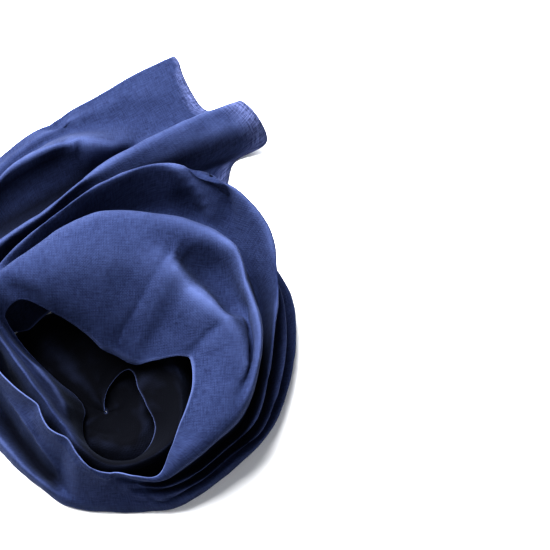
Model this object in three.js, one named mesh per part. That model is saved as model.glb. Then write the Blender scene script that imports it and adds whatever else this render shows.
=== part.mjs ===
// Tenugui towel: one length of plain indigo cotton, laid down as a loose round nest.
// The cloth starts at its cut end at the back, runs anticlockwise round the nest and
// ends inside the hollow. Lengths are millimetres, +Z is up, and the towel rests on Z = 0.

import * as THREE from "three";

const THICKNESS = 1.2;
// Least cosine used when the sides are moved apart at a fold.
const MITRE_LIMIT = 0.6;
const CLOTH_COLOUR = 0x2b3a6b;
const CLOTH_ROUGHNESS = 0.9;

// The mesh has a row of points every STEP_ALONG mm or less, measured at the outermost
// fold line. Across the cloth it has two points beside each fold line, this share of the
// way to the next line, so a fold is round.
const STEP_ALONG = 24;
const FOLD_ROUNDING = 0.24;

// The cut end slants across the cloth: each fold line starts this many degrees
// further round than the first section, and is back on the sections at LEAD_ENDS_AT.
const LEAD_ENDS_AT = 100;

// Fold lines across the width of the cloth, from the outer hem to the inner selvedge.
// "lead" is the slant of the cut end, in degrees.
const FOLD_LINES = [
  { name: "hem", lead: 16 },
  { name: "foot", lead: 15 },
  { name: "band", lead: 14 },
  { name: "trough", lead: 9.5 },
  { name: "ridge", lead: 7 },
  { name: "dip", lead: 5 },
  { name: "roll", lead: 2.5 },
  { name: "gap", lead: -4 },
  { name: "rim", lead: 0 },
  { name: "dent", lead: -1 },
  { name: "shoulder", lead: -1 },
  { name: "petal", lead: -1 },
  { name: "edge", lead: -1 },
];

// One row for each section: its angle round the nest in degrees (more than a full turn
// for the rounds inside the first), then the distance from the middle of the hollow
// ("out") and the height over the surface ("up") of each fold line, in order:
// hem, foot, band, trough, ridge, dip, roll, gap, rim, dent, shoulder, petal, edge.
const SECTIONS = [
  { at: 65, out: [253, 248, 239, 219, 216, 212, 223, 211, 190, 172, 150, 124, 98],
    up: [0, 1.5, 3, 3, 4, 2, 22, 9, 0, 0, 0, 0, 0] },
  { at: 78, out: [233, 227, 221, 205, 193, 188, 182, 171, 153, 137, 122, 107, 92],
    up: [0, 2, 4, 4, 6, 12, 27, 10, 0, 0, 0, 0, 0] },
  { at: 88, out: [220, 215, 210, 198, 176, 169, 160, 152, 136, 125, 114, 103, 90],
    up: [0, 2.5, 5, 5, 21, 10, 31, 12, 0, 0, 0, 0, 0] },
  { at: 97, out: [211, 206, 202, 195, 177, 156, 145, 138, 122, 113, 104, 96, 88],
    up: [0, 3, 6, 5.5, 28, 2, 34, 13, 0, 0, 0, 0, 0] },
  { at: 110, out: [195, 190, 186, 180, 172, 142, 126, 119, 115, 110, 104, 98, 92],
    up: [0, 3.5, 7, 7, 28, 6, 40, 12, 2, 0, 0, 0, 0] },
  { at: 125, out: [174, 171, 167, 160, 150, 133, 119, 114, 112, 110, 108, 106, 104],
    up: [0, 4, 8, 8, 28, 19, 43, 25, 16, 11, 7, 4, 2] },
  { at: 132, out: [156, 159, 156, 149, 141, 128, 117, 112.5, 110.5, 109, 108, 107, 106],
    up: [0, 5, 14, 11, 27, 21, 42, 31, 25, 21, 18, 16, 14] },
  { at: 140, out: [120, 143, 140, 133, 127, 120, 113, 110, 108.5, 107.5, 106.5, 105.5, 104.5],
    up: [0, 2, 13, 12, 26, 28, 40, 37, 35, 33, 31, 29, 27] },
  { at: 155, out: [86, 117, 117, 110, 106, 102, 99, 96, 94, 92, 90, 88, 86],
    up: [0, 0, 13, 15, 24, 28, 32, 35, 38, 41, 44, 47, 49] },
  { at: 176, out: [68, 92, 82, 70, 63, 61.5, 60.5, 59.5, 58.5, 57.5, 56.5, 55.5, 55],
    up: [0, 0, 24, 8, 31, 34.5, 37.5, 40, 42.5, 44.5, 46.5, 48.5, 50] },
  { at: 196, out: [60, 73, 70, 58, 50, 48, 46, 44.5, 43, 42, 41, 40, 39],
    up: [0, 0, 19, 3, 32, 35, 37.5, 40, 42, 44, 45.5, 47, 48] },
  { at: 215, out: [51, 66, 64, 54, 46.5, 45, 44, 43, 42, 41, 40.5, 40, 39.5],
    up: [0, 0, 16, 2, 27, 31, 34, 37, 40, 42, 44, 46, 47.5] },
  { at: 235, out: [50, 63, 62, 55, 47, 45, 43.5, 42, 41, 40, 38.5, 37, 36],
    up: [0, 0, 12, 3, 19, 25, 30, 34, 37, 40, 42, 44, 45.5] },
  { at: 255, out: [52, 64, 63, 60, 57, 54, 51.5, 49.5, 48, 46.5, 45, 44, 43],
    up: [0, 0, 7, 11, 16, 21, 26, 30, 33, 36, 38, 40, 41.5] },
  { at: 270, out: [54, 64, 63, 60, 57, 54, 51.5, 49.5, 49, 48.5, 48, 47.5, 47],
    up: [0, 0, 7, 12, 17, 22, 27, 30.5, 32, 33, 34, 35, 36] },
  { at: 283, out: [56, 66, 64, 61, 58, 55.5, 53.5, 52, 51.8, 51.6, 51.3, 51, 50.5],
    up: [0, 0, 7, 11, 15, 20, 24.5, 27, 29, 31, 32.5, 34, 35] },
  { at: 293, out: [58, 69, 67.5, 65, 62.5, 59.5, 58.8, 56.5, 57, 57, 56.8, 56.3, 55.4],
    up: [0, 0, 7, 11, 15.5, 16, 23, 24.5, 31, 33, 34.5, 35.5, 36] },
  { at: 305, out: [62, 75, 75, 71.2, 70.6, 66, 67.8, 61.8, 65.5, 65.6, 64.6, 63.4, 62],
    up: [0, 0, 9, 10, 17, 16, 26, 22, 33, 35, 36.5, 37, 37] },
  { at: 320, out: [64, 80, 81, 76.6, 79, 72, 75.6, 67.6, 70.5, 68, 64, 60, 56],
    up: [0, 0, 13, 13.5, 22, 16, 31, 22, 44, 47, 48, 46, 41] },
  { at: 335, out: [68, 87, 88.5, 83.8, 86, 78.6, 83, 73.4, 78, 74, 68, 61, 53],
    up: [0, 0, 13, 13.5, 23, 16, 34, 22, 51, 53.5, 53.5, 50, 43] },
  { at: 350, out: [72, 99, 103, 97.8, 101, 91.8, 96.5, 86.6, 88, 83, 75, 65, 54.5],
    up: [0, 0, 13, 13, 25, 17, 40, 24, 56, 57.5, 57.5, 53, 45] },
  { at: 365, out: [74, 110, 115, 108, 110, 101.4, 103, 95.4, 96, 91, 87, 72, 57],
    up: [0, 0, 12, 13, 26, 18, 43, 27, 60, 56, 59, 56, 46] },
  { at: 380, out: [74, 121, 128, 119, 121, 111, 113.5, 106, 104.5, 97, 91, 75, 58],
    up: [0, 0, 12, 13, 26, 19, 46, 28, 63, 51, 60, 56, 43] },
  { at: 395, out: [76, 134, 140.5, 132, 134, 127, 133, 117, 110, 100.6, 85.6, 63.5, 40],
    up: [0, 0, 12, 13, 25, 22, 49, 28, 65, 46, 62, 52.5, 32] },
  { at: 408, out: [84, 138, 143, 138, 141, 144, 149, 126, 120, 103.6, 82.2, 57.1, 30.2],
    up: [0, 1, 14, 20, 30, 34, 54, 32, 66, 50, 63, 49, 29.5] },
  { at: 420, out: [95, 136, 142, 141, 145, 150, 154, 133, 118, 103.2, 86.6, 58.6, 28.3],
    up: [4, 5, 14, 22, 32, 42, 58, 30, 67, 63.5, 67.5, 53.5, 29] },
  { at: 435, out: [88, 130, 136, 137, 142, 148, 151, 127, 113, 102.1, 84.4, 56.4, 28.9],
    up: [5, 6, 14, 22, 33, 44, 60, 31, 68, 68.5, 65.5, 52.5, 31] },
  { at: 450, out: [82, 116, 120, 121, 125, 131, 134, 117, 111, 99.1, 80.4, 54.4, 30.9],
    up: [5, 6, 14, 22, 33, 44, 60, 36, 68, 69.5, 66.5, 53.5, 33] },
  { at: 465, out: [78, 103, 106, 106.5, 109.5, 114, 117, 105.5, 104, 93.2, 78.6, 58.6, 41.3],
    up: [5, 6, 14, 22, 33, 44, 58, 43, 66, 68, 66, 56, 38] },
  { at: 480, out: [76, 95, 97, 97, 100, 104, 106.5, 99.2, 96.6, 88.5, 79.2, 68.2, 58.2],
    up: [5, 6, 14, 22, 33, 43, 57, 49, 64, 65.5, 63.5, 57.5, 46.5] },
  { at: 492, out: [74, 91, 93, 94, 96.5, 99.5, 102, 98.8, 96.5, 94, 90, 85, 78],
    up: [4, 7, 14, 20, 30, 40, 52, 55, 60, 61, 60, 57, 52.5] },
  { at: 500, out: [82, 87, 89, 90, 92, 95, 99, 98.5, 97, 94, 90.5, 86.5, 81],
    up: [3, 8, 13, 18, 26, 34, 43, 49, 54, 54, 51.5, 47, 41] },
  { at: 507, out: [94, 85, 83, 83, 84, 87, 90, 89, 84, 77, 70, 58, 44],
    up: [3, 7, 12, 16, 22, 29, 36, 43, 47, 38, 34, 16, 5] },
  { at: 515, out: [82, 76, 73, 71, 70, 70.5, 70, 67.5, 64, 54, 44, 33, 22],
    up: [3, 5, 9, 14, 20, 26, 33, 39, 44, 31, 32, 14, 5] },
  { at: 528, out: [64, 60, 58, 57, 56, 54.5, 52.5, 50, 46.5, 38, 30, 23, 15],
    up: [1, 3.5, 8, 13, 18, 24, 31, 37, 43, 29, 30, 14, 5] },
  { at: 550, out: [46, 47, 47, 46, 44.5, 42.5, 40, 37, 34, 29, 24, 19, 13],
    up: [0, 3, 7, 12, 18, 24, 30, 36, 41, 29, 28, 15, 7] },
  { at: 580, out: [35, 40, 40.5, 40, 38.5, 36.5, 34.5, 33, 30, 26.5, 24.5, 21.5, 18],
    up: [0, 2, 7, 12, 18, 24, 30, 34, 38, 30, 25, 18, 11] },
  { at: 612, out: [38, 44, 45, 44.5, 43, 41.5, 39.5, 38.4, 35.8, 32.6, 31.2, 30, 29],
    up: [0, 2, 7, 12, 17, 23, 28, 31.5, 35, 30.5, 25.5, 20.5, 15.5] },
  { at: 640, out: [42, 49, 50, 49.5, 48.5, 47.5, 46, 46, 43.9, 41, 40, 39.3, 38.8],
    up: [0, 2, 6, 11, 16, 21, 25, 27.5, 31, 28, 24, 20, 16] },
  { at: 665, out: [48, 55, 56, 55, 53, 51.5, 50, 50, 47.6, 44.6, 43, 41.8, 40.8],
    up: [0, 2, 6, 11, 16, 20, 24, 26.5, 30, 27.5, 24, 21, 18] },
  { at: 690, out: [58, 59, 59, 58, 57, 55.5, 54, 52.5, 51, 48, 44.5, 41, 37],
    up: [0, 4, 8, 12, 17, 21, 25, 28, 30, 28, 25, 22, 19] },
  { at: 720, out: [62, 61, 60, 58, 56.5, 55, 53, 51, 49, 43.5, 37.5, 31.5, 26],
    up: [0, 5, 9, 13, 17, 21, 25, 28, 30, 28, 25.5, 23, 20] },
  { at: 745, out: [64, 62, 60, 58, 56, 54, 52, 50, 47, 41, 35, 29, 23.5],
    up: [0, 7, 13, 18, 22, 26, 29, 31, 31, 28, 25.5, 23, 20] },
  { at: 775, out: [62, 60, 58, 56, 54, 52, 50, 47, 44, 40, 36, 32, 28],
    up: [0, 4, 8, 12, 16, 20, 23, 25, 26, 24.5, 22.5, 20, 17] },
  { at: 800, out: [64, 61, 57, 53, 49, 45, 41, 37, 33, 29, 25, 20, 15],
    up: [0, 3, 6, 9, 11, 13, 14, 15, 15, 14, 12.5, 11, 9] },
  { at: 830, out: [74, 68, 61, 54, 47, 41, 35, 29, 24, 19, 14, 8, 2],
    up: [0, 2, 4, 6, 8, 9, 10, 10, 9.5, 8.5, 7, 5, 3] },
  { at: 850, out: [78, 70, 62, 54, 46, 39, 32, 26, 21, 16, 11, 6, 2],
    up: [0, 1.5, 3, 4.5, 6, 7, 7.5, 7.5, 7, 6, 5, 3.5, 2] },
  { at: 868, out: [80, 71, 62, 53, 45, 38, 31, 25, 20, 15, 10, 6, 2],
    up: [0, 0.5, 1, 2, 3, 3.5, 3.5, 3.5, 3.5, 3, 2.5, 2, 1] },
  { at: 885, out: [56, 50, 44, 38, 33, 28, 24, 20, 16, 12, 8, 5, 2],
    up: [0, 0, 0.5, 1, 1.5, 2, 2, 2, 2, 1.5, 1, 0.5, 0.5] },
  { at: 910, out: [40, 36, 32, 28, 25, 22, 19, 16, 13, 10, 7, 4.5, 2],
    up: [0, 0, 0, 0.5, 1, 1.5, 2, 2, 2, 1.5, 1, 0.5, 0.5] },
  { at: 940, out: [30, 28, 26, 23, 21, 19, 17, 14.5, 12, 9.5, 7, 4.5, 2],
    up: [0, 0, 1, 2, 3.5, 4.5, 5, 5, 4, 3, 2, 1, 0.5] },
  { at: 972, out: [33, 31, 28.5, 26, 23, 20, 17.5, 15, 12, 9.5, 7, 4.5, 2],
    up: [0, 1, 3, 6, 8, 8, 7, 5, 4, 3, 2, 1, 0.5] },
  { at: 1000, out: [38, 36, 33.5, 31, 27.5, 24, 20, 16.5, 13, 10, 7, 4.5, 2],
    up: [0, 1, 3, 6, 9, 10, 8, 5, 4, 3, 2, 1, 0.5] },
  { at: 1025, out: [43, 41, 38, 35, 31, 27, 22.5, 18, 14, 10.5, 7, 4.5, 2],
    up: [0, 1, 4, 7, 9, 9, 7, 5, 4, 3, 2, 1, 0.5] },
  { at: 1050, out: [48, 45, 41, 37, 33, 28.5, 24, 19, 14.5, 10.5, 7, 4.5, 2],
    up: [0, 1, 3, 6, 8, 10, 9, 6, 4, 3, 2, 1, 0.5] },
  { at: 1080, out: [50, 46, 41.5, 37, 32.5, 28, 23.5, 19, 14.5, 10.5, 7, 4.5, 2],
    up: [0, 1, 3, 5, 6, 8, 10, 8, 5, 3, 2, 1, 0.5] },
  { at: 1110, out: [48, 44, 40, 36, 32, 28, 24, 19.5, 15, 11, 7.5, 5, 3],
    up: [0, 1, 3, 5, 6, 7, 8.5, 8, 6, 4, 3, 1.8, 0.8] },
  { at: 1150, out: [44, 40, 36, 32, 28.5, 25, 22, 18.5, 15, 12, 9, 6.5, 3],
    up: [1, 2.2, 3.4, 4.5, 5, 6, 6, 6, 5, 3.8, 2.6, 1.5, 0.5] },
  { at: 1180, out: [38, 34.5, 31, 28, 25.5, 23, 20.5, 17.5, 14.5, 11.6, 9, 6.5, 4.2],
    up: [0, 0.8, 1.6, 2.4, 3, 3.4, 3.6, 3.4, 2.9, 2.2, 1.5, 0.8, 0.2] },
];

// Slopes of a curve that passes through all values without swinging past them.
function levelSlopes(places, values) {
  const last = values.length - 1;
  const steps = values.slice(1).map((value, i) => (value - values[i]) / (places[i + 1] - places[i]));
  return values.map((_, i) => {
    if (i === 0 || i === last) return steps[Math.min(i, last - 1)];
    if (steps[i - 1] * steps[i] <= 0) return 0;
    return (2 * steps[i - 1] * steps[i]) / (steps[i - 1] + steps[i]);
  });
}

// Value of that curve at one place.
function readCurve(places, values, slopes, place) {
  let i = 0;
  while (i < places.length - 2 && place > places[i + 1]) i += 1;
  const span = places[i + 1] - places[i];
  const t = (place - places[i]) / span;
  const rise = t * t * (3 - 2 * t);
  const leave = t * (1 - t) * (1 - t) * slopes[i] * span;
  const arrive = t * t * (t - 1) * slopes[i + 1] * span;
  return values[i] * (1 - rise) + values[i + 1] * rise + leave + arrive;
}

const ANGLES = SECTIONS.map((section) => section.at);
const LINE_CURVES = FOLD_LINES.map((line, k) => {
  const out = SECTIONS.map((section) => section.out[k]);
  const up = SECTIONS.map((section) => section.up[k]);
  return { line, out, up, outSlopes: levelSlopes(ANGLES, out), upSlopes: levelSlopes(ANGLES, up) };
});

// Places of the mesh points across the cloth, from 0 at the hem to 1 at the edge.
const SPANS = FOLD_LINES.length - 1;
const ACROSS = [0, ...Array.from({ length: 2 * SPANS }, (_, j) => {
  const beside = j % 2 === 0 ? FOLD_ROUNDING : 1 - FOLD_ROUNDING;
  return (Math.floor(j / 2) + beside) / SPANS;
}), 1];

// Points of one cross-section of the cloth's middle layer, from hem to edge.
function crossSection(angle) {
  const fade = Math.max(0, (LEAD_ENDS_AT - angle) / (LEAD_ENDS_AT - ANGLES[0]));
  const profile = LINE_CURVES.map((curve) => {
    const turn = THREE.MathUtils.degToRad(angle + curve.line.lead * fade);
    const out = readCurve(ANGLES, curve.out, curve.outSlopes, angle);
    const up = readCurve(ANGLES, curve.up, curve.upSlopes, angle);
    return new THREE.Vector3(out * Math.cos(turn), out * Math.sin(turn), up);
  });
  const across = new THREE.CatmullRomCurve3(profile, false, "centripetal");
  return ACROSS.map((share) => {
    const point = across.getPoint(share);
    point.z = Math.max(point.z, 0) + THICKNESS / 2;
    return point;
  });
}

function middleLayer() {
  const rows = [];
  for (let i = 0; i < SECTIONS.length - 1; i += 1) {
    const span = ANGLES[i + 1] - ANGLES[i];
    const reach = Math.max(...SECTIONS[i].out, ...SECTIONS[i + 1].out);
    const steps = Math.ceil((span * Math.PI * reach) / 180 / STEP_ALONG);
    for (let s = 0; s < steps; s += 1) rows.push(crossSection(ANGLES[i] + (span * s) / steps));
  }
  rows.push(crossSection(ANGLES[ANGLES.length - 1]));
  return rows;
}

// Triangles of a grid of points, as index triples; each cell is cut along one diagonal.
function gridTriangles(height, width) {
  const triangles = [];
  for (let i = 0; i < height - 1; i += 1) {
    for (let j = 0; j < width - 1; j += 1) {
      const [a, b, c, d] = [i * width + j, (i + 1) * width + j, (i + 1) * width + j + 1, i * width + j + 1];
      triangles.push([a, b, c], [a, c, d]);
    }
  }
  return triangles;
}

// For each point of the middle layer, the way to the upper side of the cloth: it is longer
// at a fold, where the sides would otherwise come too near to each other.
function offsets(points, triangles) {
  const sums = points.map(() => new THREE.Vector3());
  const faces = triangles.map((corners) => {
    const [a, b, c] = corners.map((corner) => points[corner]);
    const normal = b.clone().sub(a).cross(c.clone().sub(a)).normalize();
    corners.forEach((corner) => sums[corner].add(normal));
    return normal;
  });
  const ways = sums.map((sum) => sum.normalize());
  const least = points.map(() => 1);
  triangles.forEach((corners, n) => corners.forEach((corner) => {
    least[corner] = Math.min(least[corner], faces[n].dot(ways[corner]));
  }));
  return ways.map((way, n) => way.clone().multiplyScalar(THICKNESS / 2 / Math.max(least[n], MITRE_LIMIT)));
}

// Closed solid of the sheet: the middle layer moved half a thickness to each side,
// and the two sides joined round the border.
function sheetGeometry(rows) {
  const height = rows.length;
  const width = rows[0].length;
  const points = rows.flat();
  const triangles = gridTriangles(height, width);
  const ways = offsets(points, triangles);
  const positions = [];
  for (const side of [1, -1]) {
    points.forEach((point, n) => {
      const moved = point.clone().addScaledVector(ways[n], side);
      positions.push(moved.x, moved.y, Math.max(moved.z, 0));
    });
  }
  const layer = points.length;
  const index = [];
  for (const [a, b, c] of triangles) index.push(a, b, c, layer + a, layer + c, layer + b);
  const border = [];
  for (let i = 0; i < height - 1; i += 1) border.push(i * width);
  for (let j = 0; j < width - 1; j += 1) border.push((height - 1) * width + j);
  for (let i = height - 1; i > 0; i -= 1) border.push(i * width + width - 1);
  for (let j = width - 1; j > 0; j -= 1) border.push(j);
  border.forEach((p, n) => {
    const q = border[(n + 1) % border.length];
    index.push(p, layer + p, layer + q, p, layer + q, q);
  });
  const geometry = new THREE.BufferGeometry();
  geometry.setAttribute("position", new THREE.Float32BufferAttribute(positions, 3));
  geometry.setIndex(index);
  return geometry;
}

// The origin is the middle of the bottom of the towel's bounding box.
const sheet = sheetGeometry(middleLayer());
sheet.computeBoundingBox();
const middle = sheet.boundingBox.getCenter(new THREE.Vector3());
sheet.translate(-middle.x, -middle.y, -sheet.boundingBox.min.z);

const towel = new THREE.Mesh(
  sheet,
  new THREE.MeshStandardMaterial({ color: CLOTH_COLOUR, roughness: CLOTH_ROUGHNESS, metalness: 0 }),
);
towel.name = "towel";

const part = new THREE.Group();
part.add(towel);

export default part;
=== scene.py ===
"""Tenugui towel: one length of thin indigo cotton, laid loosely round itself on a pale table."""

import logging
import math
from dataclasses import dataclass, field
from enum import Enum

import bpy
import numpy as np
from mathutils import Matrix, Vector


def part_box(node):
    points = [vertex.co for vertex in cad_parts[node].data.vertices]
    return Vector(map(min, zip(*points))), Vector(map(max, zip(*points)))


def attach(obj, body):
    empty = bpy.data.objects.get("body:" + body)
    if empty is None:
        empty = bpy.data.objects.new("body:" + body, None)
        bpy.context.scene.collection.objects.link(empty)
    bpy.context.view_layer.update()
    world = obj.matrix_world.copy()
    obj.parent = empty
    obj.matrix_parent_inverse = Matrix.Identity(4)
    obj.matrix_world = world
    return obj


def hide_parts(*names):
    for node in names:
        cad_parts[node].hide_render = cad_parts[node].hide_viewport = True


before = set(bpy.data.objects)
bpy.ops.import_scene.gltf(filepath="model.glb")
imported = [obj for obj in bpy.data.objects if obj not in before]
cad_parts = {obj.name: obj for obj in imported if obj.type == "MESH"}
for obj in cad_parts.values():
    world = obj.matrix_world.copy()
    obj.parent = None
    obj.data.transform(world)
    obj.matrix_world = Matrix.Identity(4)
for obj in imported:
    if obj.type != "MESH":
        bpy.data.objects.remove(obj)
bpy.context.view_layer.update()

LOG = logging.getLogger("towel")
MM = 0.001
# The side of the photograph, in its pixels.
PHOTO_SIDE = 550
# The middle of the hollow in the photograph, in pixels from its top left corner.
HOLLOW_PIXEL = (110, 410)
# The same place in the part's frame, in mm.
HOLLOW_PLACE = (-5.2, -92.3, 0)


@dataclass(frozen=True)
class FoldLine:
    """A line that runs the length of the strip, where the cloth turns over.

    Args:
        name: What the line is called.
        lead: Degrees further round the nest at which the slanting cut end meets the line.
    """

    name: str
    lead: float


@dataclass(frozen=True)
class Section:
    """A cross-section of the strip, from the outer hem to the inner selvedge.

    Args:
        at: Degrees round the nest from the right-hand side, more than a turn for later rounds.
        out: Each fold line's distance from the middle of the hollow, in mm.
        up: The height of the cloth's underside over the table at each fold line, in mm.
    """

    at: float
    out: tuple[float, ...]
    up: tuple[float, ...]


FOLD_LINES = (
    FoldLine("hem", 16),
    FoldLine("foot", 15),
    FoldLine("band", 14),
    FoldLine("trough", 9.5),
    FoldLine("ridge", 7),
    FoldLine("dip", 5),
    FoldLine("roll", 2.5),
    FoldLine("gap", -4),
    FoldLine("rim", 0),
    FoldLine("dent", -1),
    FoldLine("shoulder", -1),
    FoldLine("petal", -1),
    FoldLine("edge", -1),
)

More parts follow.
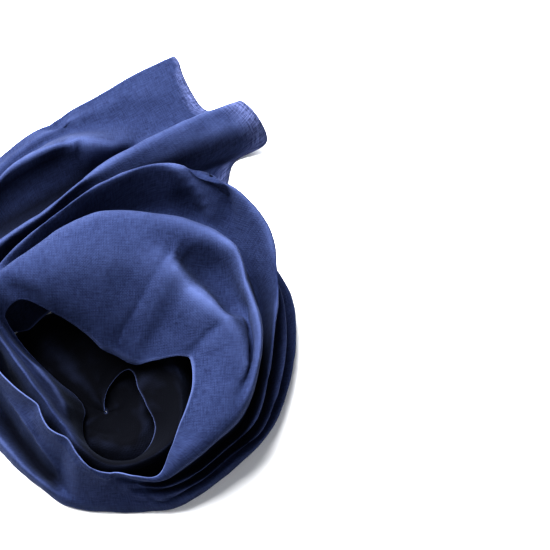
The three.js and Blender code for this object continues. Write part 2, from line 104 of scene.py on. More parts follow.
SECTIONS = (
    Section(65, (253, 248, 239, 219, 216, 212, 223, 211, 190, 172, 150, 124, 98),
            (0, 1.5, 3, 3, 4, 2, 22, 9, 0, 0, 0, 0, 0)),
    Section(78, (233, 227, 221, 205, 193, 188, 182, 171, 153, 137, 122, 107, 92),
            (0, 2, 4, 4, 6, 12, 27, 10, 0, 0, 0, 0, 0)),
    Section(88, (220, 215, 210, 198, 176, 169, 160, 152, 136, 125, 114, 103, 90),
            (0, 2.5, 5, 5, 21, 10, 31, 12, 0, 0, 0, 0, 0)),
    Section(97, (211, 206, 202, 195, 177, 156, 145, 138, 122, 113, 104, 96, 88),
            (0, 3, 6, 5.5, 28, 2, 34, 13, 0, 0, 0, 0, 0)),
    Section(110, (195, 190, 186, 180, 172, 142, 126, 119, 115, 110, 104, 98, 92),
            (0, 3.5, 7, 7, 28, 6, 40, 12, 2, 0, 0, 0, 0)),
    Section(125, (174, 171, 167, 160, 150, 133, 119, 114, 112, 110, 108, 106, 104),
            (0, 4, 8, 8, 28, 19, 43, 25, 16, 11, 7, 4, 2)),
    Section(132, (156, 159, 156, 149, 141, 128, 117, 112.5, 110.5, 109, 108, 107, 106),
            (0, 5, 14, 11, 27, 21, 42, 31, 25, 21, 18, 16, 14)),
    Section(140, (120, 143, 140, 133, 127, 120, 113, 110, 108.5, 107.5, 106.5, 105.5, 104.5),
            (0, 2, 13, 12, 26, 28, 40, 37, 35, 33, 31, 29, 27)),
    Section(155, (86, 117, 117, 110, 106, 102, 99, 96, 94, 92, 90, 88, 86),
            (0, 0, 13, 15, 24, 28, 32, 35, 38, 41, 44, 47, 49)),
    Section(176, (68, 92, 82, 70, 63, 61.5, 60.5, 59.5, 58.5, 57.5, 56.5, 55.5, 55),
            (0, 0, 24, 8, 31, 34.5, 37.5, 40, 42.5, 44.5, 46.5, 48.5, 50)),
    Section(196, (60, 73, 70, 58, 50, 48, 46, 44.5, 43, 42, 41, 40, 39),
            (0, 0, 19, 3, 32, 35, 37.5, 40, 42, 44, 45.5, 47, 48)),
    Section(215, (51, 66, 64, 54, 46.5, 45, 44, 43, 42, 41, 40.5, 40, 39.5),
            (0, 0, 16, 2, 27, 31, 34, 37, 40, 42, 44, 46, 47.5)),
    Section(235, (50, 63, 62, 55, 47, 45, 43.5, 42, 41, 40, 38.5, 37, 36),
            (0, 0, 12, 3, 19, 25, 30, 34, 37, 40, 42, 44, 45.5)),
    Section(255, (52, 64, 63, 60, 57, 54, 51.5, 49.5, 48, 46.5, 45, 44, 43),
            (0, 0, 7, 11, 16, 21, 26, 30, 33, 36, 38, 40, 41.5)),
    Section(270, (54, 64, 63, 60, 57, 54, 51.5, 49.5, 49, 48.5, 48, 47.5, 47),
            (0, 0, 7, 12, 17, 22, 27, 30.5, 32, 33, 34, 35, 36)),
    Section(283, (56, 66, 64, 61, 58, 55.5, 53.5, 52, 51.8, 51.6, 51.3, 51, 50.5),
            (0, 0, 7, 11, 15, 20, 24.5, 27, 29, 31, 32.5, 34, 35)),
    Section(293, (58, 69, 67.5, 65, 62.5, 59.5, 58.8, 56.5, 57, 57, 56.8, 56.3, 55.4),
            (0, 0, 7, 11, 15.5, 16, 23, 24.5, 31, 33, 34.5, 35.5, 36)),
    Section(305, (62, 75, 75, 71.2, 70.6, 66, 67.8, 61.8, 65.5, 65.6, 64.6, 63.4, 62),
            (0, 0, 9, 10, 17, 16, 26, 22, 33, 35, 36.5, 37, 37)),
    Section(320, (64, 80, 81, 76.6, 79, 72, 75.6, 67.6, 70.5, 68, 64, 60, 56),
            (0, 0, 13, 13.5, 22, 16, 31, 22, 44, 47, 48, 46, 41)),
    Section(335, (68, 87, 88.5, 83.8, 86, 78.6, 83, 73.4, 78, 74, 68, 61, 53),
            (0, 0, 13, 13.5, 23, 16, 34, 22, 51, 53.5, 53.5, 50, 43)),
    Section(350, (72, 99, 103, 97.8, 101, 91.8, 96.5, 86.6, 88, 83, 75, 65, 54.5),
            (0, 0, 13, 13, 25, 17, 40, 24, 56, 57.5, 57.5, 55, 49)),
    Section(365, (74, 110, 115, 108, 110, 101.4, 103, 95.4, 96, 91, 87, 72, 57),
            (0, 0, 12, 13, 26, 18, 43, 27, 60, 56, 59, 57.5, 51)),
    Section(380, (74, 121, 128, 119, 121, 111, 113.5, 106, 104.5, 97, 91, 75, 58),
            (0, 0, 12, 13, 26, 19, 46, 28, 63, 51, 60, 58, 49)),
    Section(395, (76, 134, 140.5, 132, 134, 127, 133, 117, 110, 100.6, 85.6, 63.5, 40),
            (0, 0, 12, 13, 25, 22, 49, 28, 65, 46, 62, 52.5, 37)),
    Section(408, (84, 138, 143, 138, 141, 144, 149, 126, 120, 103.6, 82.2, 57.1, 30.2),
            (0, 1, 14, 20, 30, 34, 54, 32, 66, 50, 63, 49, 29.5)),
    Section(420, (95, 136, 142, 141, 145, 150, 154, 133, 118.8, 103.2, 86.3, 58.6, 28.3),
            (4, 5, 14, 22, 32, 42, 58, 30, 64.2, 63.5, 68.5, 53.5, 29)),
    Section(435, (88, 130, 136, 137, 142, 148, 151, 127, 114.4, 102.1, 83.9, 56.4, 28.9),
            (5, 6, 14, 22, 33, 44, 60, 31, 64, 68.5, 67, 52.5, 31)),
    Section(450, (82, 116, 120, 121, 125, 131, 134, 117, 112.4, 99.1, 79.9, 54.4, 30.9),
            (5, 6, 14, 22, 33, 44, 60, 36, 64, 69.5, 68, 53.5, 33)),
    Section(465, (78, 103, 106, 106.5, 109.5, 114, 117, 105.5, 105.4, 93.2, 78.1, 58.6, 41.3),
            (5, 6, 14, 22, 33, 44, 58, 43, 62, 68, 67.5, 56, 38)),
    Section(480, (76, 95, 97, 97, 100, 104, 106.5, 99.2, 97.3, 88.5, 78.9, 68.2, 58.2),
            (5, 6, 14, 22, 33, 43, 57, 49, 61.6, 65.5, 64.4, 57.5, 46.5)),
    Section(492, (74, 91, 93, 94, 96.5, 99.5, 102, 98.8, 96.5, 94, 90, 85, 78),
            (4, 7, 14, 20, 30, 40, 52, 55, 60, 61, 60, 57, 52.5)),
    Section(500, (82, 87, 89, 90, 92, 95, 99, 98.5, 97, 94, 90.5, 86.5, 81),
            (3, 8, 13, 18, 26, 34, 43, 49, 54, 54, 51.5, 47, 41)),
    Section(507, (94, 85, 83, 83, 84, 87, 90, 89, 84, 77, 70, 58, 44),
            (3, 7, 12, 16, 22, 29, 36, 43, 47, 38, 34, 16, 5)),
    Section(515, (82, 76, 73, 71, 70, 70.5, 70, 67.5, 64, 54, 44, 33, 22),
            (3, 5, 9, 14, 20, 26, 33, 39, 44, 31, 32, 14, 5)),
    Section(528, (64, 60, 58, 57, 56, 54.5, 52.5, 50, 46.5, 38, 30, 23, 15),
            (1, 3.5, 8, 13, 18, 24, 31, 37, 43, 29, 30, 14, 5)),
    Section(550, (46, 47, 47, 46, 44.5, 42.5, 40, 37, 34, 29, 24, 19, 13),
            (0, 3, 7, 12, 18, 24, 30, 36, 41, 29, 28, 15, 7)),
    Section(580, (35, 40, 40.5, 40, 38.5, 36.5, 34.5, 33, 30, 26.5, 24.5, 21.5, 18),
            (0, 2, 7, 12, 18, 24, 30, 34, 38, 30, 25, 18, 11)),
    Section(612, (38, 44, 45, 44.5, 43, 41.5, 39.5, 38.4, 35.8, 32.6, 31.2, 30, 29),
            (0, 2, 7, 12, 17, 23, 28, 31.5, 35, 30.5, 25.5, 20.5, 15.5)),
    Section(640, (42, 49, 50, 49.5, 48.5, 47.5, 46, 46, 43.9, 41, 40, 39.3, 38.8),
            (0, 2, 6, 11, 16, 21, 25, 27.5, 31, 28, 24, 20, 16)),
    Section(665, (48, 55, 56, 55, 53, 51.5, 50, 50, 47.6, 44.6, 43, 41.8, 40.8),
            (0, 2, 6, 11, 16, 20, 24, 26.5, 30, 27.5, 24, 21, 18)),
    Section(690, (58, 59, 59, 58, 57, 55.5, 54, 52.5, 51, 48, 44.5, 41, 37),
            (0, 4, 8, 12, 17, 21, 25, 28, 30, 28, 25, 22, 19)),
    Section(720, (62, 61, 60, 58, 56.5, 55, 53, 51, 49, 43.5, 37.5, 31.5, 26),
            (0, 5, 9, 13, 17, 21, 25, 28, 30, 28, 25.5, 23, 20)),
    Section(745, (64, 62, 60, 58, 56, 54, 52, 50, 47, 41, 35, 29, 23.5),
            (0, 7, 13, 18, 22, 26, 29, 31, 31, 28, 25.5, 23, 20)),
    Section(775, (62, 60, 58, 56, 54, 52, 50, 47, 44, 40, 36, 32, 28),
            (0, 4, 8, 12, 16, 20, 23, 25, 26, 24.5, 22.5, 20, 17)),
    Section(800, (64, 61, 57, 53, 49, 45, 41, 37, 33, 29, 25, 20, 15),
            (0, 3, 6, 9, 11, 13, 14, 15, 15, 14, 12.5, 11, 9)),
    Section(830, (74, 68, 61, 54, 47, 41, 35, 29, 24, 19, 14, 8, 0.4),
            (0, 2, 4, 6, 8, 9, 10, 10, 9.5, 8.5, 7, 5, 3)),
    Section(850, (78, 70, 62, 54, 46, 39, 32, 26, 21, 16, 11, 6, 0.4),
            (0, 1.5, 3, 4.5, 6, 7, 7.5, 7.5, 7, 6, 5, 3.5, 2)),
    Section(868, (80, 71, 62, 53, 45, 38, 31, 25, 20, 15, 10, 6, 0.4),
            (0, 0.5, 1, 2, 3, 3.5, 3.5, 3.5, 3.5, 3, 2.5, 2, 1)),
    Section(885, (56, 50, 44, 38, 33, 28, 24, 20, 16, 12, 8, 5, 0.4),
            (0, 0, 0.5, 1, 1.5, 2, 2, 2, 2, 1.5, 1, 0.5, 0.5)),
    Section(910, (40, 36, 32, 28, 25, 22, 19, 16, 13, 10, 7, 4.5, 0.4),
            (0, 0, 0, 0.5, 1, 1.5, 2, 2, 2, 1.5, 1, 0.5, 0.5)),
    Section(940, (30, 28, 26, 23, 21, 19, 17, 14.5, 12, 9.5, 7, 4.5, 0.4),
            (0, 0, 1, 2, 3.5, 4.5, 5, 5, 4, 3, 2, 1, 0.5)),
    Section(972, (33, 31, 28.5, 26, 23, 20, 17.5, 15, 12, 9.5, 7, 4.5, 0.4),
            (0, 1, 3, 6, 8, 8, 7, 5, 4, 3, 2, 1, 0.5)),
    Section(1000, (38, 36, 33.5, 31, 27.5, 24, 20, 16.5, 13, 10, 7, 4.5, 0.4),
            (0, 1, 3, 6, 9, 10, 8, 5, 4, 3, 2, 1, 0.5)),
    Section(1025, (43, 41, 38, 35, 31, 27, 22.5, 18, 14, 10.5, 7, 4.5, 0.4),
            (0, 1, 4, 7, 9, 9, 7, 5, 4, 3, 2, 1, 0.5)),
    Section(1050, (48, 45, 41, 37, 33, 28.5, 24, 19, 14.5, 10.5, 7, 4.5, 0.4),
            (0, 1, 3, 6, 8, 10, 9, 6, 4, 3, 2, 1, 0.5)),
    Section(1080, (50, 46, 41.5, 37, 32.5, 28, 23.5, 19, 14.5, 10.5, 7, 4.5, 0.4),
            (0, 1, 3, 5, 6, 8, 10, 8, 5, 3, 2, 1, 0.5)),
    Section(1110, (48, 44, 40, 36, 32, 28, 24, 19.5, 15, 11, 7.5, 5, 0.4),
            (0, 1, 3, 5, 6, 7, 8.5, 8, 6, 4, 3, 1.8, 0.8)),
    Section(1150, (44, 40, 36, 32, 28.5, 25, 22, 18.5, 15, 12, 9, 6.5, 1.5),
            (1, 2.2, 3.4, 4.5, 5, 6, 6, 6, 5, 3.8, 2.6, 1.5, 0.5)),
    Section(1180, (38, 34.5, 31, 28, 25.5, 23, 20.5, 17.5, 14.5, 11.6, 9, 6.5, 2.5),
            (0, 0.8, 1.6, 2.4, 3, 3.4, 3.6, 3.4, 2.9, 2.2, 1.5, 0.8, 0.2)),
)


class Finish(Enum):
    """The record's material slots."""

    COTTON = "cotton"


class CreaseForm(Enum):
    """How a crease falls off to its sides: a pressed edge or a rolling swell."""

    SHARP = 1.2
    SOFT = 2.0


@dataclass(frozen=True)
class Crease:
    """A crease or swell of the cloth between its fold lines.

    Args:
        name: What it is.
        height: How far it stands over the cloth, in mm, or under it where it is less than 0.
        width: How far it reaches to each side, in mm.
        form: How it falls off.
        path: Its places, each as degrees round the nest and fold lines from the hem.
        fades: Whether it dies out at the start and at the end of the path.
        painted_fold_shade: How much painted shade the crease lays into the cloth's colour, where its fold
            lies deep.
    """

    name: str
    height: float
    width: float
    form: CreaseForm
    path: tuple[tuple[float, float], ...]
    fades: tuple[bool, bool] = (True, True)
    painted_fold_shade: float = 0.0


# Where kept is set, the crease also paints shade into the cloth's colour.
CREASES = (
    # The broad petal over the hollow.
    Crease(
        "petal_crease", -1.1, 3.2, CreaseForm.SHARP,
        ((424, 8.8), (424, 9.8), (426, 10.6), (430, 11.2), (436, 11.7)),
        fades=(True, False),
    ),
    Crease(
        "dent", -5.5, 8.5, CreaseForm.SOFT,
        ((422, 9.4), (415, 9.3), (406, 9.3), (396, 9.4), (388, 9.5)),
        painted_fold_shade=0.12,
    ),
    Crease(
        "dent_lip", 1.3, 2.6, CreaseForm.SHARP,
        ((424, 9.8), (417, 10.0), (408, 10.0), (398, 10.0), (386, 10.0)),
    ),
    Crease(
        "inner_fold", 2.5, 3.0, CreaseForm.SHARP,
        ((393, 9.0), (387, 9.2), (380, 9.3), (370, 9.6), (362, 9.8)),
    ),
    Crease("inner_groove", -3.5, 3.0, CreaseForm.SOFT, ((393, 8.6), (386, 8.75), (377, 8.9), (368, 9.2))),
    Crease(
        "tongue_line", -1.8, 2.6, CreaseForm.SHARP,
        ((383, 12.0), (385, 11.5), (387, 11.0), (388, 10.5), (389, 10.1)),
        fades=(False, True),
    ),
    # The ring behind the petal, with its two pleats.
    Crease("ring_valley", -4.0, 7.0, CreaseForm.SOFT, ((431, 6.5), (427, 6.8), (423, 6.9))),
    Crease(
        "left_pleat", 2.0, 2.6, CreaseForm.SHARP,
        ((436, 6.0), (431, 6.2), (427, 6.4), (423, 6.6), (419, 6.9)),
    ),
    Crease("pleat_groove", -4.5, 4.0, CreaseForm.SOFT, ((430, 5.9), (425, 6.1), (420, 6.3), (415, 6.7))),
    # The flap at the back, the pocket and the roll.
    Crease(
        "flap_notch", -3.0, 4.0, CreaseForm.SHARP,
        ((102, 0.2), (101, 1.2), (99, 2.2), (97, 3.0)),
        fades=(False, True),
    ),
    Crease("flap_valley", -1.5, 12.0, CreaseForm.SOFT, ((70, 2.9), (80, 2.9), (90, 3.0), (100, 2.6))),
    Crease(
        "pocket_wall", -8.0, 11.0, CreaseForm.SOFT,
        ((130, 4.4), (120, 4.45), (110, 4.45), (102, 4.4), (97, 4.3)),
        painted_fold_shade=0.4,
    ),
    Crease(
        "pocket_floor", -2.0, 9.0, CreaseForm.SOFT,
        ((128, 4.9), (120, 4.9), (110, 4.9), (102, 4.95), (95, 5.2), (90, 5.4)),
        painted_fold_shade=0.85,
    ),
    Crease("pocket_notch", -2.5, 3.0, CreaseForm.SHARP, ((95.5, 3.9), (96, 4.2), (96.4, 4.6))),
    Crease(
        "roll_body", 5.0, 9.0, CreaseForm.SOFT,
        ((65, 6.55), (75, 6.55), (84, 6.6), (96, 6.6)),
        fades=(False, True),
    ),
    Crease("roll_neck", 2.5, 4.0, CreaseForm.SOFT, ((86, 6.6), (96, 6.6), (106, 6.6), (120, 6.6))),
    # The front.
    Crease(
        "front_crest", 2.5, 4.0, CreaseForm.SHARP,
        ((254, 11.8), (262, 11.4), (270, 9.5), (284, 5.9), (294, 3.6), (300, 1.8)),
    ),
    Crease("front_groove", -3.0, 6.0, CreaseForm.SOFT, ((276, 9.5), (286, 7), (294, 5), (300, 3.5))),
    Crease(
        "front_trough", -0.5, 8.0, CreaseForm.SOFT,
        ((168, 3.2), (188, 3.0), (204, 2.9), (218, 3.0), (233, 3.0), (243, 2.5)),
        painted_fold_shade=0.9,
    ),
    Crease(
        "left_crest", 2.0, 3.5, CreaseForm.SHARP,
        ((180, 4.1), (195, 4.1), (210, 4.1), (224, 4.05), (234, 3.8), (240, 3.2)),
    ),
    Crease(
        "band_crest", 1.8, 2.5, CreaseForm.SHARP,
        ((328, 2.2), (311, 2.4), (303, 3.2), (297, 4.6), (284, 6.5)),
    ),
)


def linear(hex_colour: str) -> tuple[float, float, float, float]:
    """Turns an sRGB hex colour into linear RGBA.

    Args:
        hex_colour: Six hex digits, with or without a leading #.

    Returns:
        Red, green, blue and alpha for a shader socket.
    """
    digits = hex_colour.lstrip("#")
    channels = [int(digits[i : i + 2], 16) / 255 for i in (0, 2, 4)]
    red, green, blue = (c / 12.92 if c <= 0.04045 else ((c + 0.055) / 1.055) ** 2.4 for c in channels)
    return (red, green, blue, 1.0)


def add_node(
    tree: bpy.types.NodeTree,
    kind: str,
    settings: dict[str | int, object] | None = None,
    links: dict[str | int, bpy.types.NodeSocket] | None = None,
) -> bpy.types.Node:
    """Adds one node with its settings and links.

    Args:
        tree: The node tree that gets the node.
        kind: Blender's name for the node's type.
        settings: Property names, or input names and numbers, and what they are set to.
        links: Input names or numbers, and the sockets that feed them.

    Returns:
        The new node.
    """
    node = tree.nodes.new(kind)
    for name, value in (settings or {}).items():
        if isinstance(name, str) and hasattr(node, name):
            setattr(node, name, value)
        else:
            node.inputs[name].default_value = value
    for name, socket in (links or {}).items():
        tree.links.new(socket, node.inputs[name])
    return node


def level_slopes(places: np.ndarray, values: np.ndarray) -> np.ndarray:
    """Slopes of a curve that passes through all values without swinging past them.

    Args:
        places: The places of the values, in rising order.
        values: One row of values for each place.

    Returns:
        One row of slopes for each place.
    """
    steps = np.diff(values, axis=0) / np.diff(places)[:, None]
    before, after = steps[:-1], steps[1:]
    same_way = before * after > 0
    total = np.where(same_way, before + after, 1.0)
    inner = np.where(same_way, 2 * before * after / total, 0.0)
    return np.vstack([steps[:1], inner, steps[-1:]])


def read_curve(places: np.ndarray, values: np.ndarray, where: np.ndarray) -> np.ndarray:
    """Reads that curve at any places.

    Args:
        places: The places of the values, in rising order.
        values: One row of values for each place.
        where: The places to read.

    Returns:
        One row of values for each place in where.
    """
    slopes = level_slopes(places, values)
    i = np.clip(np.searchsorted(places, where, side="right") - 1, 0, len(places) - 2)
    span = (places[i + 1] - places[i])[:, None]
    t = (where[:, None] - places[i][:, None]) / span
    rise = t * t * (3 - 2 * t)
    leave = t * (1 - t) ** 2 * slopes[i] * span
    arrive = t * t * (t - 1) * slopes[i + 1] * span
    return values[i] * (1 - rise) + values[i + 1] * rise + leave + arrive


def round_curve(points: np.ndarray, shares: np.ndarray) -> np.ndarray:
    """Points on the rounded (centripetal) curve through each row of control points.

    Args:
        points: Rows of control points, shaped (rows, points, 3).
        shares: Places on the curve, counted in control points from 0.

    Returns:
        The points, shaped (rows, shares, 3).
    """
    before = 2 * points[:, :1] - points[:, 1:2]
    after = 2 * points[:, -1:] - points[:, -2:-1]
    padded = np.concatenate([before, points, after], axis=1)
    i = np.clip(np.floor(shares).astype(int), 0, points.shape[1] - 2)
    t = (shares - i)[None, :, None]
    a, b, c, d = (padded[:, i + k] for k in range(4))
    ab, bc, cd = (
        np.maximum(np.sqrt(np.linalg.norm(q - p, axis=2, keepdims=True)), 1e-2)
        for p, q in ((a, b), (b, c), (c, d))
    )
    leave = ((b - a) / ab - (c - a) / (ab + bc) + (c - b) / bc) * bc
    arrive = ((c - b) / bc - (d - b) / (bc + cd) + (d - c) / cd) * bc
    bend = 2 * b - 2 * c + leave + arrive
    turn = 3 * c - 3 * b - 2 * leave - arrive
    return b + leave * t + turn * t**2 + bend * t**3


def soft_noise(seed: int, places: np.ndarray) -> np.ndarray:
    """Smooth noise between about -1 and 1, the same on each run.

    Args:
        seed: Which noise.
        places: Places in space, counted in bumps, with x, y and z last.

    Returns:
        The noise, one value for each place.
    """
    places = places - places.min(axis=(0, 1))
    size = places.max(axis=(0, 1)).astype(int) + 2
    lattice = np.random.default_rng(seed).uniform(-1, 1, size)
    cell = np.floor(places).astype(int)
    share = places - cell
    share = share**3 * (share * (6 * share - 15) + 10)
    noise = np.zeros(places.shape[:-1])
    for corner in np.ndindex(2, 2, 2):
        weight = np.prod(np.where(corner, share, 1 - share), axis=-1)
        noise += weight * lattice[tuple(np.moveaxis(cell + corner, -1, 0))]
    return noise


def make_mesh(name: str, points: np.ndarray, faces: np.ndarray) -> bpy.types.Object:
    """Makes a smooth-shaded mesh object.

    Args:
        name: The object's name.
        points: Its points, in metres.
        faces: Its faces, as rows of point numbers.

    Returns:
        The object, linked to the scene.
    """
    mesh = bpy.data.meshes.new(name)
    mesh.from_pydata(points.tolist(), [], faces.tolist())
    mesh.polygons.foreach_set("use_smooth", [True] * len(mesh.polygons))
    mesh.update()
    piece = bpy.data.objects.new(name, mesh)
    bpy.context.scene.collection.objects.link(piece)
    return piece


@dataclass(frozen=True)
class IndigoCotton:
    """Plain-woven cotton, dyed indigo: soft and matt, with a fine even weave, a paler colour on its folds
    that is part wear and part painted highlight, and painted shade in the nest's inner rounds and deep folds.

    Real thread spacing is about 0.6 mm. The weave is drawn half as coarse again, so that it shows.
    """

    light: str = "#262f4a"
    deep: str = "#171d35"
    wear_and_highlight: str = "#6a78a8"
    painted_shade: str = "#020309"
    frayed: str = "#565d80"
    sheen_tint: str = "#a8b8e0"
    thread_mm: float = 0.9
    # How many slubs there are to a metre, along a thread and across it.
    slubs_along: float = 160.0
    slubs_across: float = 1300.0
    # The noise between which the dye goes from deep to light.
    shade_span: tuple[float, float] = (0.7, 1.3)
    thread_relief: float = 0.25
    bump_strength: float = 0.35
    bump_mm: float = 0.6
    roughness: float = 0.92
    specular: float = 0.1
    sheen: float = 0.04
    sheen_roughness: float = 0.5

    def make(self) -> bpy.types.Material:
        """Builds the material.

        Returns:
            The material, with its colour, weave and sheen.
        """
        material = bpy.data.materials.new("indigo_cotton")
        material.use_nodes = True
        tree = material.node_tree
        shader = tree.nodes["Principled BSDF"]
        cloth = add_node(tree, "ShaderNodeUVMap", {"uv_map": "cloth"})
        # Slubs: short thick stretches of thread, along and across the cloth.
        long, short = self.slubs_along, self.slubs_across
        place = {"Vector": cloth.outputs["UV"]}
        along = add_node(tree, "ShaderNodeMapping", {"Scale": (long, short, 1.0)}, place)
        across = add_node(tree, "ShaderNodeMapping", {"Scale": (short, long, 1.0)}, place)
        grain = {"Scale": 1.0, "Detail": 2.0}
        warp = add_node(tree, "ShaderNodeTexNoise", grain, {"Vector": along.outputs["Vector"]})
        weft = add_node(tree, "ShaderNodeTexNoise", grain, {"Vector": across.outputs["Vector"]})
        slubs = add_node(
            tree, "ShaderNodeMath", {"operation": "ADD"}, {0: warp.outputs["Fac"], 1: weft.outputs["Fac"]}
        )
        shades = add_node(
            tree,
            "ShaderNodeMapRange",
            {"From Min": self.shade_span[0], "From Max": self.shade_span[1], "To Min": 0.0, "To Max": 1.0},
            {"Value": slubs.outputs["Value"]},
        )
        dyed = add_node(
            tree,
            "ShaderNodeMix",
            {"data_type": "RGBA", 6: linear(self.deep), 7: linear(self.light)},
            {"Factor": shades.outputs["Result"]},
        )
        # The threads are loose and let the light through beside the cut end.
        loose = add_node(tree, "ShaderNodeAttribute", {"attribute_name": "frayed"})
        open_weave = add_node(
            tree,
            "ShaderNodeMath",
            {"operation": "MULTIPLY"},
            {0: loose.outputs["Fac"], 1: shades.outputs["Result"]},
        )
        thinned = add_node(
            tree,
            "ShaderNodeMix",
            {"data_type": "RGBA", 7: linear(self.frayed)},
            {"Factor": open_weave.outputs["Value"], 6: dyed.outputs[2]},
        )
        # Painted shade: a near-black colour in the nest's inner rounds and in the deep folds, where shade
        # falls.
        painted_shade_mask = add_node(tree, "ShaderNodeAttribute", {"attribute_name": "painted_shade"})
        with_painted_shade = add_node(
            tree,
            "ShaderNodeMix",
            {"data_type": "RGBA", 7: linear(self.painted_shade)},
            {"Factor": painted_shade_mask.outputs["Fac"], 6: thinned.outputs[2]},
        )
        # A paler colour on the crests and selvedges: part wear, part painted highlight.
        crest = add_node(tree, "ShaderNodeAttribute", {"attribute_name": "crest"})
        worn_and_highlit = add_node(
            tree,
            "ShaderNodeMix",
            {"data_type": "RGBA", 7: linear(self.wear_and_highlight)},
            {"Factor": crest.outputs["Fac"], 6: with_painted_shade.outputs[2]},
        )
        tree.links.new(worn_and_highlit.outputs[2], shader.inputs["Base Color"])
        # The plain weave: threads that pass over and under each other.
        weave_scale = 1 / (self.thread_mm * MM)
        weave = add_node(
            tree,
            "ShaderNodeMapping",
            {"Scale": (weave_scale * math.pi, weave_scale * math.pi, 1.0)},
            {"Vector": cloth.outputs["UV"]},
        )
        parts = add_node(tree, "ShaderNodeSeparateXYZ", {}, {"Vector": weave.outputs["Vector"]})
        warp_wave = add_node(tree, "ShaderNodeMath", {"operation": "SINE"}, {0: parts.outputs["X"]})
        weft_wave = add_node(tree, "ShaderNodeMath", {"operation": "SINE"}, {0: parts.outputs["Y"]})
        crossing = add_node(
            tree,
            "ShaderNodeMath",
            {"operation": "MULTIPLY"},
            {0: warp_wave.outputs["Value"], 1: weft_wave.outputs["Value"]},
        )
        relief = add_node(
            tree,
            "ShaderNodeMath",
            {"operation": "MULTIPLY_ADD", 1: self.thread_relief},
            {0: crossing.outputs["Value"], 2: slubs.outputs["Value"]},
        )
        bump = add_node(
            tree,
            "ShaderNodeBump",
            {"Strength": self.bump_strength, "Distance": self.bump_mm * MM},
            {"Height": relief.outputs["Value"]},
        )
        tree.links.new(bump.outputs["Normal"], shader.inputs["Normal"])
        shader.inputs["Roughness"].default_value = self.roughness
        shader.inputs["Specular IOR Level"].default_value = self.specular
        shader.inputs["Sheen Weight"].default_value = self.sheen
        shader.inputs["Sheen Roughness"].default_value = self.sheen_roughness
        shader.inputs["Sheen Tint"].default_value = linear(self.sheen_tint)
        return material


@dataclass(frozen=True)
class PaleTable:
    """Matt white laminate under the towel: even and pale, with no pattern."""

    colour: str = "#f4f5f7"
    roughness: float = 0.6

    def make(self) -> bpy.types.Material:
        """Builds the material.

        Returns:
            The material of the table top.
        """
        material = bpy.data.materials.new("white_laminate")
        material.use_nodes = True
        shader = material.node_tree.nodes["Principled BSDF"]
        shader.inputs["Base Color"].default_value = linear(self.colour)
        shader.inputs["Roughness"].default_value = self.roughness
        return material


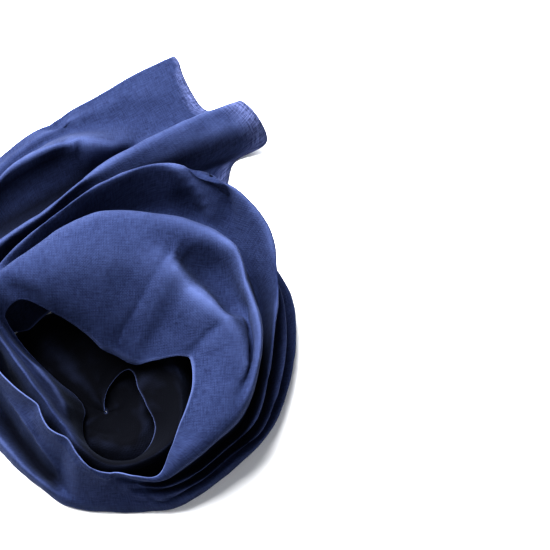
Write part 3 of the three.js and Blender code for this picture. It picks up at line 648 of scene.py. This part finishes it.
@dataclass
class GatheredCloth:
    """The towel: a strip gathered into long folds and laid round a hollow.

    Lengths are in mm until the mesh is made. The strip's grid has rows round the nest and columns
    across the cloth.
    """

    thickness: float = 0.9
    shown_until: float = 520.0
    shown_step: float = 1.2
    hidden_step: float = 4.6
    columns: int = 90
    least_columns: int = 5
    lead_ends_at: float = 100.0
    # How far the weave is loose from the cut end, at each fold line.
    fray: tuple[float, ...] = (1, 2, 4, 8, 8, 8, 12, 12, 8, 8, 6, 6, 6)
    # Height and length of the crumple's bumps.
    crumple: tuple[tuple[float, float], ...] = ((0.7, 28.0), (0.35, 12.0), (0.12, 5.0))
    # How many places a crease's path is read at, how far round the nest it is felt past its ends, and
    # over which share of its length it dies out.
    crease_places: int = 60
    crease_margin: float = 30.0
    crease_end: float = 0.2
    # How much paler the colour is on a bulge, for each mm, and on a selvedge, part wear and part painted
    # highlight, and how wide that selvedge is.
    bulge_wear_and_highlight: float = 0.08
    selvedge_wear_and_highlight: float = 0.35
    selvedge: float = 0.6
    # Where the inner and the innermost round start to get painted shade, within how many degrees they do
    # so, and the height under which the inner one gets it, within a depth over which it grows.
    inner_from: float = 505.0
    innermost_from: float = 590.0
    inner_within: float = 20.0
    light_ends: float = 38.0
    light_depth: float = 14.0
    # The middle and half the width of the part where the threads run straight, and its first fold line.
    straight_at: float = 421.0
    straight_half: float = 86.0
    straight_line: int = 8
    # The size of the towel folded once along its length, in metres.
    folded: tuple[float, float] = (0.17, 1.0)
    angles: np.ndarray = field(init=False)
    shares: np.ndarray = field(init=False)

    def __post_init__(self) -> None:
        """Lays out the rows and the columns of the grid."""
        first, last = SECTIONS[0].at, SECTIONS[-1].at
        shown = np.arange(first, self.shown_until, self.shown_step)
        hidden = np.arange(self.shown_until, last + 0.5 * self.hidden_step, self.hidden_step)
        self.angles = np.concatenate([shown, np.minimum(hidden, last)])
        rows = self.lines_at(self.angles[self.angles < self.shown_until])
        widths = np.linalg.norm(np.diff(rows, axis=1), axis=2).mean(axis=0)
        counts = np.maximum(self.least_columns, np.round(self.columns * widths / widths.sum())).astype(int)
        spans = [k + np.arange(count) / count for k, count in enumerate(counts)]
        self.shares = np.concatenate([*spans, [float(len(counts))]])

    def lines_at(self, angles: np.ndarray) -> np.ndarray:
        """The fold lines' points at some angles.

        Args:
            angles: Degrees round the nest.

        Returns:
            The points, shaped (angles, lines, 3).
        """
        places = np.array([section.at for section in SECTIONS], float)
        out = read_curve(places, np.array([section.out for section in SECTIONS], float), angles)
        up = read_curve(places, np.array([section.up for section in SECTIONS], float), angles)
        lead = np.array([line.lead for line in FOLD_LINES])
        fade = np.clip((self.lead_ends_at - angles) / (self.lead_ends_at - places[0]), 0, None)
        turn = np.radians(angles[:, None] + lead[None, :] * fade[:, None])
        return np.stack([out * np.cos(turn), out * np.sin(turn), up], axis=2)

    def middle_layer(self) -> np.ndarray:
        """The middle of the cloth's thickness, before its wrinkles.

        Returns:
            The points, shaped (rows, columns, 3).
        """
        layer = round_curve(self.lines_at(self.angles), self.shares)
        layer[:, :, 2] = np.maximum(layer[:, :, 2], 0) + self.thickness / 2
        return layer

    def flat_places(self, layer: np.ndarray) -> tuple[np.ndarray, np.ndarray]:
        """Where each point of the grid is on the cloth when it is spread flat.

        Args:
            layer: The middle layer.

        Returns:
            The distance from the cut end and from the hem, in mm.
        """
        steps = np.linalg.norm(np.diff(layer, axis=0), axis=2).mean(axis=1)
        along = np.concatenate([[0.0], np.cumsum(steps)])
        widths = np.linalg.norm(np.diff(layer, axis=1), axis=2)
        across = np.concatenate([np.zeros((len(layer), 1)), np.cumsum(widths, axis=1)], axis=1)
        return np.broadcast_to(along[:, None], across.shape), across

    def upward(self, layer: np.ndarray) -> np.ndarray:
        """The direction out of the cloth's upper side at each point.

        Args:
            layer: The middle layer.

        Returns:
            Unit vectors, shaped as the layer is.
        """
        normal = np.cross(np.gradient(layer, axis=0), np.gradient(layer, axis=1))
        length = np.linalg.norm(normal, axis=2, keepdims=True)
        return normal / np.maximum(length, 1e-9)

    def creases_at(self, layer: np.ndarray) -> tuple[np.ndarray, np.ndarray]:
        """What the creases do at each point of the smooth cloth.

        Args:
            layer: The smooth middle layer.

        Returns:
            The lift in mm, less than 0 in the hollow folds, and the share of painted shade.
        """
        lift, painted_fold_shade = np.zeros((2, *layer.shape[:2]))
        for crease in CREASES:
            path = np.array(crease.path, float)
            shares = np.linspace(0, 1, self.crease_places)
            knots = np.linspace(0, 1, len(path))
            angles, lines = (np.interp(shares, knots, path[:, k]) for k in (0, 1))
            rows = np.interp(angles, self.angles, np.arange(len(self.angles)))
            columns = np.interp(lines, self.shares, np.arange(len(self.shares)))
            i, j = rows.astype(int), columns.astype(int)
            i, j = np.minimum(i, layer.shape[0] - 2), np.minimum(j, layer.shape[1] - 2)
            s, t = (rows - i)[:, None], (columns - j)[:, None]
            spine = (layer[i, j] * (1 - s) + layer[i + 1, j] * s) * (1 - t)
            spine += (layer[i, j + 1] * (1 - s) + layer[i + 1, j + 1] * s) * t
            near = np.abs(self.angles - angles.mean()) < np.ptp(angles) / 2 + self.crease_margin
            distance = np.linalg.norm(layer[near][:, :, None, :] - spine, axis=3)
            nearest = distance.argmin(axis=2)
            ways = zip((shares, 1 - shares), crease.fades)
            ends = [away if fades else np.ones(self.crease_places) for away, fades in ways]
            taper = np.clip(np.minimum(*ends) / self.crease_end, 0, 1) ** 0.7
            fall = np.exp(-((distance.min(axis=2) / crease.width) ** crease.form.value))
            lift[near] += crease.height * fall * taper[nearest]
            painted_fold_shade[near] = np.maximum(painted_fold_shade[near], crease.painted_fold_shade * fall * taper[nearest])
        return lift, painted_fold_shade

    def crumple_lift(self, layer: np.ndarray) -> np.ndarray:
        """How far the small crumple of thin cotton lifts each point.

        Args:
            layer: The creased middle layer.

        Returns:
            The lift in mm, shaped (rows, columns).
        """
        lift = np.zeros(layer.shape[:2])
        for seed, (height, length) in enumerate(self.crumple):
            lift += height * soft_noise(seed, layer / length)
        return lift

    def lifted(self, layer: np.ndarray, lift: np.ndarray) -> np.ndarray:
        """Moves the cloth out of its upper side, and no lower than the table.

        Args:
            layer: The middle layer.
            lift: How far each point moves, in mm.

        Returns:
            The moved middle layer.
        """
        moved = layer + self.upward(layer) * lift[:, :, None]
        moved[:, :, 2] = np.maximum(moved[:, :, 2], self.thickness / 2)
        return moved

    def crest_share(self, layer: np.ndarray) -> np.ndarray:
        """How far each point is on a sharp outer crest or on an edge, where a paler colour is painted: part
        wear, part painted highlight.

        Args:
            layer: The middle layer.

        Returns:
            Shares from 0 to 1, shaped (rows, columns).
        """
        blurred = np.pad(layer, ((2, 2), (2, 2), (0, 0)), mode="edge")
        blurred = (blurred[:-4] + blurred[2:-2] + blurred[4:]) / 3
        blurred = (blurred[:, :-4] + blurred[:, 2:-2] + blurred[:, 4:]) / 3
        bulge = np.einsum("ijk,ijk->ij", layer - blurred, self.upward(layer))
        bulge[[0, 1, -2, -1]] = 0
        bulge[:, [0, 1, -2, -1]] = 0
        across = self.flat_places(layer)[1]
        inward = np.minimum(across, across[:, -1:] - across)
        selvedge = np.exp(-((inward / self.selvedge) ** 2))
        return np.clip(self.bulge_wear_and_highlight * bulge + self.selvedge_wear_and_highlight * selvedge, 0, 1)

    def painted_shade_share(self, layer: np.ndarray, painted_fold_shade: np.ndarray) -> np.ndarray:
        """How much painted shade each point gets, deep in the nest and in the deep folds.

        Args:
            layer: The middle layer.
            painted_fold_shade: The painted shade of the creases.

        Returns:
            Shares from 0 to 1, shaped (rows, columns).
        """
        inner = np.clip((self.angles - self.inner_from) / self.inner_within, 0, 1)
        innermost = np.clip((self.angles - self.innermost_from) / self.inner_within, 0, 1)
        low = np.clip((self.light_ends - layer[:, :, 2]) / self.light_depth, 0, 1)
        hollow = np.maximum(inner[:, None] * low, innermost[:, None])
        return np.maximum(hollow, painted_fold_shade)

    def frayed_share(self, layer: np.ndarray) -> np.ndarray:
        """How loose the weave is at each point, beside the cut end.

        Args:
            layer: The middle layer.

        Returns:
            Shares from 0 to 1, shaped (rows, columns).
        """
        from_cut = np.linalg.norm(np.diff(layer, axis=0), axis=2).cumsum(axis=0)
        from_cut = np.vstack([np.zeros((1, layer.shape[1])), from_cut])
        lines = np.arange(len(FOLD_LINES))
        reach = np.interp(self.shares, lines, self.fray)
        return np.clip(1.3 - from_cut / reach, 0, 1)

    def build(self, material: bpy.types.Material) -> bpy.types.Object:
        """Args:
            material: The cloth's material.

        Returns:
            The towel.
        """
        smooth = self.middle_layer()
        crease_lift, painted_fold_shade = self.creases_at(smooth)
        layer = self.lifted(smooth, crease_lift)
        layer = self.lifted(layer, self.crumple_lift(layer))
        rows, columns = layer.shape[:2]
        crest = self.crest_share(layer)
        along, across = self.flat_places(layer)
        ways = self.upward(layer) * self.thickness / 2
        upper, lower = layer + ways, layer - ways
        points = np.concatenate([upper.reshape(-1, 3), lower.reshape(-1, 3)])
        points[:, 2] = np.maximum(points[:, 2], 0)
        grid = np.arange(rows * columns).reshape(rows, columns)
        cells = np.stack([grid[:-1, :-1], grid[1:, :-1], grid[1:, 1:], grid[:-1, 1:]], axis=2).reshape(-1, 4)
        border = np.concatenate([grid[:-1, 0], grid[-1, :-1], grid[:0:-1, -1], grid[0, :0:-1]])
        onward = np.roll(border, -1)
        size = rows * columns
        rim = np.stack([border, border + size, onward + size, onward], axis=1)
        faces = np.concatenate([cells, cells[:, ::-1] + size, rim])
        cad_low, cad_high = (np.array(corner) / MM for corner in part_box("towel"))
        shift = (cad_low + cad_high - points.min(axis=0) - points.max(axis=0)) / 2
        points += shift * (1, 1, 0)
        towel = make_mesh("towel_cloth", points * MM, faces)
        # The petal and the tongue lie flat, so their threads run straight.
        near = np.abs(self.angles - self.straight_at) < self.straight_half
        straight = near[:, None] & (self.shares >= self.straight_line)[None, :]
        along = np.where(straight, layer[:, :, 0], along)
        across = np.where(straight, layer[:, :, 1], across)
        flat = np.stack([np.tile(along.ravel(), 2), np.tile(across.ravel(), 2)], axis=1) * MM
        corners = np.zeros(len(towel.data.loops), np.int32)
        towel.data.loops.foreach_get("vertex_index", corners)
        towel.data.uv_layers.new(name="cloth").data.foreach_set("uv", flat[corners].ravel())
        # Painted shade in the nest's inner rounds and deep folds, and the loose weave at the cut end.
        painted_shade, frayed = self.painted_shade_share(layer, painted_fold_shade), self.frayed_share(layer)
        for name, share in (("crest", crest), ("painted_shade", painted_shade), ("frayed", frayed)):
            shown = towel.data.attributes.new(name, "FLOAT", "POINT")
            shown.data.foreach_set("value", np.tile(share.ravel(), 2))
        towel.data.materials.append(material)
        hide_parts("towel")
        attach(towel, "root")
        return towel


@dataclass
class Studio:
    """The pale table, the soft light and the camera over the towel."""

    hollow: Vector
    view_width: float = 357.5 * MM
    elevation: float = 70.0
    distance: float = 1.5
    sensor: float = 36.0
    table_reach: float = 3.0
    room_light: float = 0.13

    def table(self) -> bpy.types.Object:
        """Lays the table top.

        Returns:
            The table top.
        """
        reach = self.table_reach
        corners = np.array([(-reach, -reach, 0), (reach, -reach, 0), (reach, reach, 0), (-reach, reach, 0)])
        top = make_mesh("table_top", corners, np.array([(0, 1, 2, 3)]))
        top.data.materials.append(PaleTable().make())
        return top

    def lamp(self, name: str, place: tuple[float, float, float], size: float, watts: float) -> None:
        """Adds a soft box that faces the towel.

        Args:
            name: The lamp's name.
            place: Where it is, in metres from the hollow.
            size: The side of the box, in metres.
            watts: Its power.
        """
        light = bpy.data.lights.new(name, "AREA")
        light.shape, light.size, light.energy = "SQUARE", size, watts
        lamp = bpy.data.objects.new(name, light)
        lamp.location = self.hollow + Vector(place)
        lamp.rotation_euler = (-Vector(place)).to_track_quat("-Z", "Y").to_euler()
        bpy.context.scene.collection.objects.link(lamp)

    def light(self) -> None:
        """Lights the towel from the back left, with a weak fill and a pale room."""
        self.lamp("window_light", (-0.6, 0.85, 1.2), 1.5, 145.0)
        self.lamp("fill_light", (0.4, -1.1, 1.3), 1.6, 9.0)
        world = bpy.data.worlds.new("room")
        world.use_nodes = True
        background = world.node_tree.nodes["Background"]
        background.inputs["Color"].default_value = linear("#eef1f6")
        background.inputs["Strength"].default_value = self.room_light
        bpy.context.scene.world = world
        bpy.context.scene.view_settings.view_transform = "Standard"
        bpy.context.scene.view_settings.look = "High Contrast"

    def camera(self) -> None:
        """Sets the camera as high and as near as in the photograph."""
        scale = self.view_width / PHOTO_SIDE
        lens = bpy.data.cameras.new("camera")
        lens.sensor_width = self.sensor
        lens.lens = self.sensor * self.distance / self.view_width
        tilt = math.radians(self.elevation)
        middle, (column, row) = PHOTO_SIDE // 2, HOLLOW_PIXEL
        target = self.hollow + Vector(((middle - column) * scale, (row - middle) * scale / math.sin(tilt), 0))
        camera = bpy.data.objects.new("camera", lens)
        camera.location = target + self.distance * Vector((0, -math.cos(tilt), math.sin(tilt)))
        camera.rotation_euler = (math.pi / 2 - tilt, 0, 0)
        bpy.context.scene.collection.objects.link(camera)
        bpy.context.scene.camera = camera


def main() -> None:
    """Builds the towel and its surroundings."""
    logging.basicConfig(level=logging.INFO, format="%(name)s: %(message)s")
    cloth = GatheredCloth()
    towel = cloth.build(IndigoCotton().make())
    LOG.info("%s: %d faces", towel.name, len(towel.data.polygons))
    studio = Studio(hollow=Vector(HOLLOW_PLACE) * MM)
    studio.table()
    studio.light()
    studio.camera()


if __name__ == "__main__":
    main()
